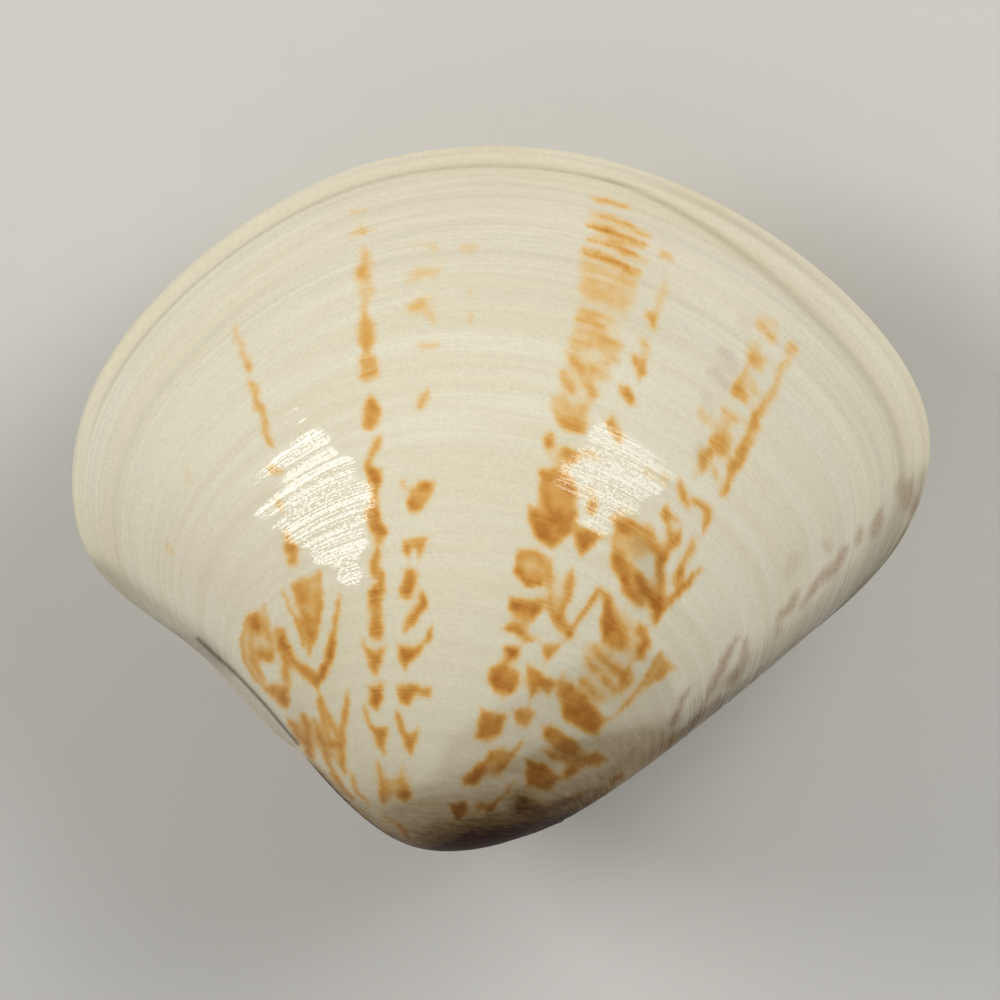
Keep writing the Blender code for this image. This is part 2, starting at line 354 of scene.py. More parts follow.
# The orange-brown markings of the right valve, drawn as strokes in picture pixels: width, strength and
# the points of a line. A single point is a round spot, and width 0 fills the outline that the points make.
markings = {
    "front ray": (
        (9, 0.35, (232, 303)), (10, 0.5, (235, 322), (242, 348), (248, 372)), (9, 0.45, (248, 367)),
        (12, 0.6, (250, 380), (258, 402), (267, 424)), (10, 0.6, (265, 424), (272, 446)),
        (9, 0.6, (272, 466), (278, 470)), (8, 0.5, (277, 495), (283, 512)),
        (9, 0.6, (285, 530), (290, 548)), (14, 0.7, (291, 549), (292, 561)),
        (2, 0.4, (190, 362), (208, 348)), (2, 0.3, (196, 372), (214, 359)),
        (4, 0.35, (167, 543), (172, 556)),
        (0, 0.6, (289, 583), (303, 576), (307, 600), (303, 613), (294, 604)),
        (0, 0.5, (303, 577), (320, 571), (321, 612), (309, 655), (303, 640), (297, 612)),
        (10, 0.55, (304, 620), (310, 634)), (6, 0.6, (320, 571), (320, 604), (317, 630), (309, 655)),
        (5, 0.65, (281, 590), (290, 608), (297, 624), (304, 645)), (14, 0.62, (279, 632), (281, 645)),
        (11, 0.72, (283, 642), (289, 654), (300, 668), (316, 684)),
        (0, 0.7, (300, 664), (316, 671), (331, 653), (330, 672), (317, 688)),
        (8, 0.7, (339, 595), (337, 611), (333, 640), (329, 660), (318, 684)),
        (12, 0.4, (333, 640), (328, 662)), (12, 0.6, (282, 640), (286, 662), (286, 684), (284, 704)),
        (12, 0.7, (272, 689), (284, 702)),
        (0, 0.36, (262, 603), (248, 616), (241, 640), (246, 663), (262, 685), (286, 707), (288, 688),
            (273, 690), (262, 674), (261, 657), (273, 655), (269, 630)),
        (14, 0.62, (253, 619), (256, 627)), (13, 0.68, (262, 655), (269, 657)),
        (5, 0.5, (264, 604), (268, 632), (272, 652)),
        (5, 0.6, (247, 618), (241, 641), (244, 660), (256, 680), (272, 696)),
        (4, 0.5, (250, 636), (252, 658), (264, 680)), (8, 0.7, (289, 719), (298, 736), (313, 757)),
        (6, 0.6, (303, 713), (308, 734), (311, 756)),
        (6, 0.6, (314, 719), (323, 746), (333, 776), (346, 795), (354, 800)),
        (8, 0.65, (319, 693), (326, 714), (337, 736)), (6, 0.55, (318, 701), (324, 726), (333, 747)),
        (9, 0.65, (347, 691), (346, 709), (342, 726), (341, 746), (344, 772)),
        (0, 0.35, (347, 700), (340, 740), (330, 744), (344, 772)), (7, 0.6, (326, 744), (342, 744)),
        (0, 0.38, (288, 722), (303, 713), (320, 724), (333, 747), (344, 772), (332, 760), (312, 752),
            (296, 740)),
        (5, 0.55, (328, 764), (341, 784), (352, 799)), (6, 0.6, (351, 771), (356, 790), (369, 805)),
        (5, 0.5, (359, 809), (372, 819)), (5, 0.35, (306, 750), (326, 779), (346, 805)),
    ),
    "faint spots": (
        (9, 0.16, (170, 438)), (12, 0.2, (188, 470), (189, 482)), (9, 0.16, (168, 550)),
        (7, 0.5, (454, 810)), (12, 0.1, (452, 352)), (4, 0.4, (232, 480)),
    ),
    "second ray": (
        (4, 0.6, (350, 214), (368, 208)), (5, 0.65, (350, 236), (362, 231), (376, 228)),
        (7, 0.25, (361, 223), (364, 231)), (16, 0.45, (363, 246), (364, 270), (365, 314)),
        (17, 0.26, (361, 270), (367, 272)), (8, 0.4, (374, 262)), (8, 0.4, (374, 290)),
        (17, 0.46, (366, 314), (368, 352)), (21, 0.34, (367, 330), (368, 338)), (7, 0.3, (357, 333)),
        (22, 0.62, (368, 364), (369, 370)), (8, 0.5, (360, 379), (379, 373)),
        (20, 0.75, (371, 409), (371, 419)), (9, 0.5, (367, 425)), (9, 0.6, (369, 400)),
        (9, 0.7, (382, 436), (374, 446), (369, 460), (368, 470)), (17, 0.78, (374, 474), (374, 478)),
        (12, 0.65, (375, 482), (374, 506)), (17, 0.78, (372, 514), (378, 529)),
        (10, 0.6, (381, 532), (381, 541)), (13, 0.72, (376, 548), (374, 575)),
        (10, 0.7, (381, 575), (381, 588)), (16, 0.8, (375, 592), (375, 601)),
        (16, 0.75, (376, 616), (376, 634)),
        (0, 0.8, (361, 636), (368, 647), (376, 650), (387, 645), (380, 668), (377, 676), (373, 676),
            (365, 658)),
        (0, 0.8, (367, 686), (385, 682), (384, 700), (378, 712), (369, 706)),
        (6, 0.6, (363, 706), (368, 720), (372, 729)),
        (0, 0.8, (370, 727), (389, 727), (385, 756), (376, 746)),
        (10, 0.6, (378, 762), (381, 780), (384, 806)),
        (0, 0.45, (383, 777), (411, 777), (412, 800), (384, 800)),
        (8, 0.5, (380, 815), (398, 826), (412, 842)),
    ),
    "third ray": (
        (6, 0.35, (403, 246), (435, 243)), (8, 0.5, (436, 249)),
        (0, 0.25, (408, 284), (420, 270), (440, 268), (437, 284), (425, 278)),
        (11, 0.35, (407, 282), (420, 272), (440, 270)), (9, 0.4, (405, 312), (425, 298), (440, 295)),
        (0, 0.38, (408, 305), (425, 300), (440, 312), (437, 328), (429, 326), (426, 318), (411, 318)),
        (12, 0.42, (417, 346), (440, 345)), (12, 0.6, (429, 390), (417, 409)), (9, 0.6, (404, 484)),
        (8, 0.12, (440, 572)), (8, 0.1, (455, 468)),
        (0, 0.62, (410, 488), (422, 480), (434, 479), (436, 490), (429, 502), (421, 512), (411, 513),
            (406, 500)),
        (11, 0.5, (430, 486)), (11, 0.4, (412, 506)),
        (0, 0.7, (402, 540), (432, 535), (425, 552), (419, 561), (413, 549), (408, 560), (402, 552)),
        (15, 0.78, (411, 574), (406, 593)), (12, 0.78, (422, 592), (423, 604), (414, 617), (404, 631)),
        (10, 0.5, (411, 617)), (8, 0.65, (432, 625), (428, 641)),
        (0, 0.84, (397, 645), (414, 646), (430, 637), (424, 650), (414, 662), (404, 672), (399, 661)),
        (0, 0.75, (396, 684), (412, 682), (433, 687), (432, 697), (415, 698), (409, 707), (399, 704)),
        (11, 0.5, (406, 696)), (9, 0.7, (397, 712), (402, 729)),
        (0, 0.75, (399, 729), (410, 732), (419, 727), (419, 738), (411, 758), (403, 746)),
        (8, 0.4, (403, 764), (401, 781)), (14, 0.7, (404, 794)), (8, 0.4, (400, 824), (409, 839)),
    ),
    "fourth ray": (
        (8, 0.42, (464, 248), (476, 248)), (8, 0.12, (470, 256), (470, 330)), (7, 0.4, (469, 292)),
        (6, 0.4, (469, 316), (469, 321)), (3, 0.5, (598, 186)), (3, 0.5, (838, 458)),
    ),
    "middle ray, belly": (
        (6, 0.75, (591, 198), (610, 202), (629, 208)), (7, 0.7, (591, 213), (612, 218), (650, 236)),
        (7, 1.0, (588, 225), (602, 229), (646, 247)),
        (0, 0.2, (591, 213), (612, 219), (650, 236), (646, 247), (588, 225)),
        (8, 0.85, (589, 238), (612, 244), (646, 261)), (6, 1.0, (583, 250), (602, 256), (641, 274)),
        (0, 0.28, (582, 252), (641, 276), (637, 300), (631, 314), (577, 296), (579, 270)),
        (4, 0.32, (581, 263), (637, 286)), (4, 0.3, (580, 275), (620, 291)),
        (7, 0.34, (579, 286), (604, 294)), (5, 0.4, (578, 295), (606, 303), (626, 311)),
        (8, 0.2, (610, 296), (628, 303)),
        (0, 0.12, (586, 236), (645, 262), (634, 306), (618, 360), (600, 392), (588, 428), (550, 412),
            (566, 360), (577, 300)),
        (6, 0.4, (576, 307), (602, 315), (614, 322)), (8, 0.6, (575, 317), (590, 321), (606, 329)),
        (7, 0.5, (573, 328), (598, 334), (620, 346)),
        (0, 0.14, (576, 304), (628, 316), (622, 345), (570, 330)),
        (0, 0.46, (570, 333), (600, 339), (602, 350), (566, 350)),
        (0, 0.34, (600, 337), (624, 345), (617, 366), (600, 362)),
        (0, 0.3, (566, 348), (618, 360), (608, 376), (590, 382), (564, 374)),
        (9, 0.45, (574, 360), (580, 370)), (9, 0.35, (590, 366), (600, 377)),
        (10, 0.5, (563, 374), (568, 384)), (10, 0.5, (572, 389)), (11, 0.5, (586, 384), (591, 393)),
        (9, 0.3, (608, 378)), (0, 0.12, (562, 372), (604, 378), (596, 400), (556, 396)),
        (0, 0.44, (549, 396), (562, 393), (572, 402), (590, 400), (591, 424), (583, 433), (560, 425),
            (550, 410)),
        (10, 0.7, (557, 420), (570, 428), (584, 430)), (8, 0.25, (596, 423)),
        (12, 0.75, (549, 437), (549, 445)), (14, 0.75, (564, 452), (572, 457)),
        (9, 0.5, (578, 450), (600, 458)), (9, 0.3, (546, 455), (562, 464)),
    ),
    "middle ray": (
        (0, 0.6, (537, 468), (560, 464), (574, 480), (580, 497), (577, 520), (548, 516), (536, 492)),
        (11, 0.4, (545, 476), (560, 482), (575, 494)), (12, 0.35, (544, 504), (554, 511)),
        (0, 0.74, (530, 504), (548, 510), (577, 512), (572, 534), (553, 549), (537, 540), (526, 518)),
        (9, 0.4, (530, 512), (537, 532), (551, 545)),
        (0, 0.8, (573, 524), (592, 530), (604, 536), (592, 546), (584, 557), (574, 544)),
        (12, 0.5, (582, 537), (583, 548)), (7, 0.35, (592, 530), (611, 541)),
        (0, 0.5, (515, 550), (530, 547), (546, 556), (554, 565), (549, 580), (540, 588), (526, 588),
            (517, 578)),
        (8, 0.7, (518, 560), (519, 572), (527, 583), (541, 583)),
        (7, 0.5, (518, 552), (540, 555), (550, 566)), (11, 0.5, (552, 565), (550, 590), (553, 617)),
        (12, 0.62, (573, 570), (568, 594), (560, 619)), (13, 0.8, (558, 620), (569, 634)),
        (0, 0.2, (553, 570), (572, 572), (562, 620), (552, 616)),
        (9, 0.7, (569, 634), (583, 614), (600, 590), (611, 600), (608, 622), (604, 640)),
        (0, 0.75, (540, 644), (564, 643), (553, 656), (545, 664)),
        (0, 0.84, (509, 597), (540, 599), (545, 611), (533, 620), (511, 611)),
        (9, 0.4, (545, 602), (552, 606)), (0, 0.45, (510, 608), (535, 618), (528, 632), (506, 626)),
        (10, 0.75, (502, 629), (515, 629), (527, 639), (536, 638)),
        (0, 0.87, (503, 645), (522, 646), (518, 661), (505, 662)),
        (0, 0.78, (490, 667), (504, 660), (520, 672), (522, 684), (511, 695), (497, 692), (487, 683)),
        (11, 0.5, (492, 680), (505, 687), (516, 688)),
        (0, 0.77, (526, 663), (540, 669), (558, 683), (550, 698), (541, 690), (531, 700), (526, 686)),
        (8, 0.5, (503, 698)),
        (0, 0.84, (481, 708), (492, 711), (507, 714), (500, 736), (490, 742), (474, 740), (476, 727)),
        (0, 0.7, (512, 709), (530, 706), (536, 714), (526, 729), (516, 726)),
        (0, 0.82, (461, 779), (478, 762), (491, 757), (486, 775), (477, 787), (464, 787)),
        (0, 0.6, (487, 750), (505, 746), (512, 756), (500, 777), (491, 779), (485, 767)),
        (8, 0.6, (523, 741), (511, 758), (500, 771)), (6, 0.6, (516, 779), (502, 797), (488, 811)),
        (0, 0.6, (514, 792), (541, 799), (552, 812), (532, 822), (513, 817)),
        (0, 0.82, (448, 803), (466, 800), (470, 812), (456, 821)),
        (0, 0.6, (473, 802), (496, 801), (492, 812), (476, 814)),
    ),
    "side of the middle ray": (
        (8, 0.6, (657, 249), (673, 261)), (11, 0.42, (665, 278), (660, 302), (652, 326)),
        (10, 0.5, (648, 314), (655, 327)), (9, 0.45, (638, 336), (650, 348)),
        (10, 0.38, (648, 344), (642, 362), (638, 380)), (12, 0.6, (634, 357), (641, 372)),
        (13, 0.78, (620, 386), (633, 403)), (11, 0.3, (612, 412), (614, 424)),
        (11, 0.7, (612, 424), (621, 438)), (12, 0.35, (588, 490), (594, 498)), (13, 0.75, (593, 508)),
    ),
    "rear ray, belly": (
        (12, 0.5, (760, 322), (768, 334)), (8, 0.3, (766, 314), (780, 330)), (10, 0.6, (774, 340)),
        (12, 0.4, (754, 342), (757, 350)), (11, 0.6, (748, 353), (756, 364), (763, 372)),
        (8, 0.4, (760, 358), (768, 362)), (14, 0.5, (746, 364), (741, 378), (735, 392)),
        (12, 0.68, (733, 384), (742, 396), (749, 404)), (10, 0.5, (752, 384), (755, 392)),
        (13, 0.4, (701, 412), (706, 420)), (13, 0.5, (722, 408), (732, 418), (742, 422)),
        (0, 0.42, (713, 416), (728, 422), (737, 436), (728, 452), (721, 460), (709, 452)),
        (11, 0.45, (714, 438), (719, 444)), (11, 0.6, (712, 440), (704, 466)),
        (12, 0.35, (723, 440), (726, 460)), (9, 0.5, (712, 461), (716, 480)),
        (10, 0.3, (701, 462), (694, 480)),
        (14, 0.58, (781, 364), (775, 386), (767, 402), (756, 420), (748, 441), (738, 459), (732, 472),
            (722, 494)),
        (9, 0.4, (757, 414), (754, 424)), (12, 0.45, (741, 450), (734, 466)),
        (7, 0.4, (724, 486), (722, 494)), (9, 0.55, (792, 344), (798, 352)),
        (11, 0.5, (789, 354), (787, 362)),
    ),
    "rear ray": (
        (9, 0.3, (622, 507), (632, 514)), (14, 0.65, (616, 520), (626, 528)),
        (16, 0.68, (630, 523), (645, 531), (655, 546), (661, 561)), (8, 0.45, (616, 530), (613, 556)),
        (16, 0.75, (617, 560), (626, 576)),
        (0, 0.42, (616, 522), (636, 526), (650, 550), (640, 562), (628, 574), (614, 560)),
        (13, 0.8, (636, 572), (645, 590), (656, 603), (660, 612)),
        (14, 0.68, (624, 582), (631, 594), (642, 605)), (12, 0.65, (658, 562), (662, 582), (660, 606)),
        (0, 0.3, (618, 576), (636, 574), (658, 576), (660, 606), (640, 609), (624, 595)),
        (10, 0.6, (665, 503), (668, 520), (670, 538), (674, 548)), (8, 0.5, (667, 516), (678, 520)),
        (12, 0.7, (659, 561), (670, 548), (681, 530)),
        (10, 0.6, (693, 538), (688, 556), (680, 570), (676, 584)), (8, 0.5, (679, 570), (677, 582)),
        (9, 0.2, (696, 538), (692, 552)), (10, 0.7, (680, 480), (684, 498), (689, 508)),
        (10, 0.7, (694, 500), (707, 508), (709, 516), (703, 533)), (10, 0.35, (663, 470), (668, 490)),
        (8, 0.35, (645, 470), (652, 476)), (9, 0.4, (700, 448), (702, 472)),
        (9, 0.8, (655, 622), (661, 611), (675, 596), (701, 569)), (12, 0.7, (657, 600), (655, 622)),
        (0, 0.36, (604, 598), (629, 609), (639, 626), (652, 639), (646, 658), (632, 664), (600, 642),
            (602, 615)),
        (14, 0.6, (614, 622), (622, 642)), (13, 0.66, (641, 624), (645, 640), (640, 658)),
        (11, 0.6, (606, 602), (605, 626), (612, 646)),
        (0, 0.28, (584, 640), (602, 640), (634, 668), (638, 677), (622, 702), (606, 701), (582, 683),
            (579, 659)),
        (10, 0.62, (594, 648), (611, 666), (630, 682)), (7, 0.6, (586, 660), (602, 676), (616, 692)),
        (9, 0.65, (580, 680), (592, 692), (604, 702)), (9, 0.55, (630, 666), (621, 690)),
        (11, 0.5, (564, 672), (561, 700)),
        (0, 0.8, (561, 684), (572, 682), (587, 694), (608, 720), (596, 736), (584, 731), (565, 721),
            (559, 706)),
        (8, 0.5, (566, 718), (592, 731)),
        (0, 0.62, (662, 654), (679, 668), (662, 681), (645, 689), (654, 669)),
        (8, 0.6, (661, 652), (646, 680), (626, 706), (611, 719)),
        (0, 0.8, (541, 726), (551, 724), (572, 737), (584, 750), (576, 759), (555, 751), (541, 737)),
        (9, 0.7, (543, 750), (557, 758), (570, 761)),
        (0, 0.7, (585, 752), (598, 750), (610, 760), (600, 768), (586, 768), (566, 781), (562, 770),
            (572, 760)),
        (0, 0.84, (525, 758), (546, 764), (564, 777), (549, 792), (525, 787)),
        (10, 0.6, (548, 808), (574, 799), (590, 790)), (9, 0.6, (612, 782), (621, 775)),
    ),
}

# dusky streaks of the rear slope, drawn the same way
duskyStreaks = (
    (13, 0.18, (722, 350), (731, 364)), (12, 0.2, (714, 372), (726, 386)),
    (11, 0.12, (706, 396), (712, 408)), (12, 0.14, (699, 440), (702, 466)),
    (10, 0.12, (742, 322), (748, 330)),
    (5, 0.55, (738, 637), (728, 655), (721, 674), (711, 692), (700, 712)),
    (8, 0.5, (745, 640), (746, 656), (740, 669), (732, 686)), (4, 0.4, (729, 648), (719, 670), (708, 690)),
    (9, 0.4, (737, 671), (725, 685)), (5, 0.6, (688, 689), (680, 705), (674, 722)),
    (9, 0.5, (677, 718), (671, 722)), (8, 0.5, (798, 592), (790, 608), (777, 619)),
    (6, 0.4, (816, 588), (800, 606)), (7, 0.4, (779, 624), (776, 636)),
    (10, 0.5, (846, 547), (836, 566), (820, 580), (811, 591)), (7, 0.3, (825, 540), (829, 553)),
    (7, 0.5, (861, 529), (857, 546)), (9, 0.5, (881, 509), (873, 536)), (20, 0.35, (905, 488), (911, 505)),
    (12, 0.16, (789, 574), (796, 558)), (5, 0.6, (721, 699), (695, 722), (664, 746)),
    (4, 0.55, (702, 711), (680, 735)), (4, 0.45, (762, 679), (740, 696)), (8, 0.4, (812, 636), (790, 652)),
    (5, 0.35, (640, 744), (622, 764), (604, 778)),
)

# soft shades, drawn the same way: brown with painted shade at the foot of the beak and over the older rays,
# and painted shade along the steep margins
footShades = (
    (0, 0.3, (330, 812), (370, 790), (430, 776), (480, 768), (540, 746), (600, 730), (660, 722), (690, 742),
        (600, 840), (480, 880), (390, 870)),
    (0, 0.28, (375, 806), (430, 793), (500, 785), (560, 775), (630, 755), (665, 762), (600, 830),
        (480, 880), (395, 870)),
    (0, 0.34, (412, 828), (450, 817), (500, 808), (560, 796), (620, 778), (612, 825), (540, 860),
        (470, 880), (405, 868)),
    (0, 0.68, (430, 844), (470, 828), (520, 822), (570, 812), (616, 798), (606, 824), (540, 860),
        (470, 880), (420, 868)),
    (0, 0.7, (440, 852), (480, 838), (530, 828), (570, 815), (540, 862), (470, 880), (430, 872)),
    (26, 0.25, (520, 800)), (14, 0.5, (340, 803), (372, 828), (402, 846), (430, 854)),
    (0, 0.22, (430, 776), (446, 735), (500, 700), (560, 668), (620, 640), (668, 655), (690, 742),
        (650, 762), (600, 766), (540, 772), (480, 784)),
    (34, 0.24, (636, 536), (652, 570), (640, 606)), (36, 0.18, (282, 690), (326, 762), (366, 812)),
)
# painted shade along the steep margins and beside the lunule's line
marginShades = (
    (24, 0.36, (90, 560), (130, 592), (165, 618), (200, 646), (232, 672)),
    (10, 0.3, (200, 640), (222, 662)),
    (64, 0.34, (650, 758), (700, 722), (760, 682), (800, 652), (840, 618), (880, 573), (905, 530),
        (922, 480)),
    (30, 0.42, (650, 758), (700, 722), (760, 682), (800, 652), (840, 618), (880, 573), (905, 530)),
    (14, 0.62, (650, 758), (700, 722), (760, 682), (800, 652), (840, 618), (880, 573)),
    (12, 0.4, (306, 760), (350, 802), (398, 840)),
)


def inkOf(places, strokes, softness):
    # how strongly the strokes colour each place, 0 for bare shell, paler towards the edge of each stroke
    form = markForm
    bare = np.ones(len(places))
    for width, strength, *points in strokes:
        points = np.array(points, dtype=float)
        reach = width / 2.0 + softness + form["margin"]
        near = np.all((places > points.min(axis=0) - reach) & (places < points.max(axis=0) + reach), axis=1)
        if not near.any():
            continue
        if width:
            length = np.linalg.norm(np.diff(points, axis=0), axis=1).sum()
            taper = width * form["taper"] if length > form["taperFrom"] * width else 0.0
            away = lineDistance(places[near], points, taper) - width / 2.0
        else:
            away = patchDistance(places[near], points)
        soft = min(softness, 2.0 + width / 3.0) if width else softness
        away = away - form["spread"]
        core = form["edgeShare"] + (1.0 - form["edgeShare"]) * smoothStep(0.0, -form["coreDepth"], away)
        bare[near] *= 1.0 - strength * smoothStep(soft, -soft, away) * core
    return 1.0 - bare


def waver(places, size, seed):
    # a smooth random push for each place, between -1 and 1 along both directions
    pushed = np.zeros_like(places)
    rng = np.random.default_rng(seed)
    bends = ((1.0, 0.6), (2.3, 0.4))  # how fine the bends are, and their share of the push
    for pitch, share in bends:
        for axis in range(2):
            for _ in range(3):
                heading = rng.uniform(0.0, 2.0 * math.pi)
                wave = (places @ (math.cos(heading), math.sin(heading))) * pitch * 2.0 * math.pi / size
                pushed[:, axis] += share / 3.0 * np.sin(wave + rng.uniform(0.0, 2.0 * math.pi))
    return pushed


def serrate(grid, push, seed):
    # ragged edges: each growth line slips a little along itself, in pixels
    rings, spokes = grid.shape[:2]
    rng = np.random.default_rng(seed)
    slips = markForm["slips"]
    coarse = rng.uniform(-1.0, 1.0, (rings, slips))
    coarse[1:] = 0.5 * (coarse[1:] + coarse[:-1])
    at = np.arange(spokes) / spokes * slips
    low = np.floor(at).astype(int)
    share = at - low
    slip = coarse[:, low % slips] * (1.0 - share) + coarse[:, (low + 1) % slips] * share
    seen = picturePlace(grid)
    along = np.roll(seen, -1, axis=1) - np.roll(seen, 1, axis=1)
    along /= np.maximum(np.linalg.norm(along, axis=-1, keepdims=True), 1e-6)
    calm = 1.0 - markForm["calm"] * smoothStep(*markForm["calmAngles"], growthAngles[:rings])[:, None, None]
    return (along * slip[..., None] * push * calm).reshape(-1, 2)


markForm = {
    "spread": 0.8,  # pixels added all round each marking
    "softness": 5.8,  # half the width of a marking's blurred edge, in pixels
    "duskSoftness": 3.0,
    "shadeSoftness": 14.0,
    "coreDepth": 8.0,  # pixels from the edge of a marking to where it is strongest
    "edgeShare": 0.72,
    "taper": 0.3,  # share of its width that a line loses towards its ends
    "taperFrom": 1.6,  # widths from which a line is long enough to taper
    "margin": 3.0,  # pixels further out that are still worked out
    "newest": 0.88,  # the markings are paler where the shell grew last
    "newestHeights": (390.0, 480.0),  # down the picture, where they turn to their full strength
    "waver": (2.0, 17.0, 3),  # how far the markings' edges are pushed, pixels from bend to bend, and seed
    "ragged": 3.0,  # how far a growth line slips along itself, in pixels
    "slips": 24,  # places round the shell that slip on their own
    "calmAngles": (0.5, 1.0),  # the older markings are less ragged
    "calm": 0.65,
    "hingeReach": (14.0, 10.0),  # nothing is drawn this near the hinge, in millimetres, beyond these angles
    "hingeAngles": (1.0, 0.75),
    "inkFacing": (-0.02, 0.10),  # how far a face looks up where the markings come in, and the shades
    "shadeFacing": (-0.35, 0.05),
    "hiddenWaver": (9.0, 60.0, 8),  # the other valve has the same rays, each a little different
}


def markValve(grid, push, size, seed):
    # markings, dusky streaks, the brown with painted shade at the foot and the painted shade of the margins,
    # for every point of the outside
    form = markForm
    flat = grid.reshape(-1, 3)
    still = picturePlace(flat)
    places = still + waver(still, size, seed) * push + serrate(grid, form["ragged"], seed)
    ink = inkOf(places, [stroke for ray in markings.values() for stroke in ray], form["softness"])
    ink *= form["newest"] + (1.0 - form["newest"]) * smoothStep(*form["newestHeights"], still[:, 1])
    dusk = inkOf(places, duskyStreaks, form["duskSoftness"])
    facing = gridNormals(grid)[..., 2].reshape(-1)
    # the beaks hang over the oldest part of the hinge line, so nothing drawn belongs there
    nearHinge = smoothStep(*form["hingeReach"], np.linalg.norm(seamOutline, axis=1))
    covered = (nearHinge * smoothStep(*form["hingeAngles"], growthAngles[: len(grid)])[:, None]).reshape(-1)
    shown = smoothStep(*form["inkFacing"], facing) * (1.0 - covered)
    shaded = smoothStep(*form["shadeFacing"], facing) * (1.0 - covered)
    # brown with painted shade at the foot of the beak and over the older rays
    footBrownAndShade = inkOf(still, footShades, form["shadeSoftness"]) * shaded
    # painted shade along the steep margins
    margin = inkOf(still, marginShades, form["shadeSoftness"]) * shaded
    return {"ink": ink * shown, "dusk": dusk * shown, "footBrownAndShade": footBrownAndShade, "margin": margin}


outside = shellGrid[:outerCount]
rightMarks = markValve(outside, *markForm["waver"])
leftMarks = markValve(outside, *markForm["hiddenWaver"])
print("marked share of the outside: %.3f" % rightMarks["ink"].mean())

# how much the shell browns towards the foot of the beak, the painted shade under the beak and on all that
# looks down, and the painted shade of its lines
brownAndShadeForm = {
    "youngFrom": 1.25,  # growth angle where the beak starts to brown
    "youngTo": 1.95,
    "youngMost": 0.55,
    "underFrom": 0.5,  # how far the face still looks up where the painted shade under the beak starts
    "underTo": 0.0,
    "underBeak": (1.2, 1.5),
    "underHidden": 0.55,  # share of that painted shade on faces that look right down
    "underHiddenFacing": (-0.6, -0.05),
    "downFacingShade": (0.0, -0.3),  # a light painted shade on all that looks down
    "hiddenAngles": (0.05, 0.4),
    "hiddenMost": 0.3,
    "haltWidth": 0.6,  # the painted shade in the halt groove, in widths of the groove
    "haltPaleRear": 0.45,
    "edgeLineSharp": 3.0,
    "edgeLineMost": 2.0,
    "lineWidth": 1.7,  # the lunule's dark line of painted shade in its crease, in pixels, and the painted shade beside it
    "lineShade": 0.22,
    "lineShadeWidth": 9.0,
}


def brownAndShadeOf(grid, angles):
    # the browned beak, with painted shade on the face turned in under it and on all that looks down
    form = brownAndShadeForm
    facing = gridNormals(grid)[..., 2]
    young = form["youngMost"] * smoothStep(form["youngFrom"], form["youngTo"], angles)[:, None]
    nearBeak = smoothStep(*form["underBeak"], angles)[:, None]
    under = smoothStep(form["underFrom"], form["underTo"], facing) * nearBeak
    down = smoothStep(*form["underHiddenFacing"], facing)
    under *= form["underHidden"] + (1.0 - form["underHidden"]) * down
    downFacingShade = smoothStep(*form["downFacingShade"], facing) * smoothStep(*form["hiddenAngles"], angles)[:, None]
    return np.maximum(np.maximum(young, under), form["hiddenMost"] * downFacingShade).reshape(-1)


def shadesOf(marks):
    # every tone that the material reads, one number for each point of the outside: markings, browning, and
    # painted shade in the groove, by the lunule's line, on the margins and under the beak
    form = brownAndShadeForm
    angles = growthAngles[:outerCount]
    halt, width, rear, onFront = haltPlace(seamOutline)
    # painted shade in the halt groove, and a faint line of the same painted shade near the seam on the rear
    fromHalt = (angles[:, None] - halt) / (width * form["haltWidth"])
    fromEdge = angles[:, None] / relief["edgeLine"] - 1.0
    groove = np.exp(-(fromHalt**2)) * (1.0 - form["haltPaleRear"] * rear) * onFront
    edgeLine = np.exp(-((fromEdge * form["edgeLineSharp"]) ** 2)) * rear * (1.0 - rear)
    groove = groove + form["edgeLineMost"] * edgeLine
    # painted shade in the lunule's crease and on the body beside it
    toLine, lunule = (part.reshape(-1) for part in lunulePlace(outside))
    shadeBesideLine = form["lineShade"] * (1.0 - lunule) * np.exp(-toLine / form["lineShadeWidth"])
    line = np.exp(-((toLine / form["lineWidth"]) ** 2)) + shadeBesideLine
    shades = {label: marks[label] for label in ("ink", "dusk", "margin")}
    # browning with painted shade under the beak, at its foot and on all that looks down
    shades["brownAndShade"] = np.maximum(brownAndShadeOf(outside, angles), marks["footBrownAndShade"])
    shades["groove"] = groove.reshape(-1)
    shades["lunule"] = lunule
    shades["line"] = np.minimum(line, 1.0)
    return shades


def tidyFaces(piece):
    # closes the roll and its two ends, turns the faces outwards and smooths them
    bpy.ops.object.select_all(action="DESELECT")
    bpy.context.view_layer.objects.active = piece
    piece.select_set(True)
    bpy.ops.object.mode_set(mode="EDIT")
    bpy.ops.mesh.select_all(action="SELECT")
    bpy.ops.mesh.remove_doubles(threshold=0.0000005)
    bpy.ops.mesh.normals_make_consistent(inside=False)
    bpy.ops.object.mode_set(mode="OBJECT")
    bpy.ops.object.shade_smooth_by_angle(angle=math.radians(50.0))
    bpy.ops.object.select_all(action="DESELECT")


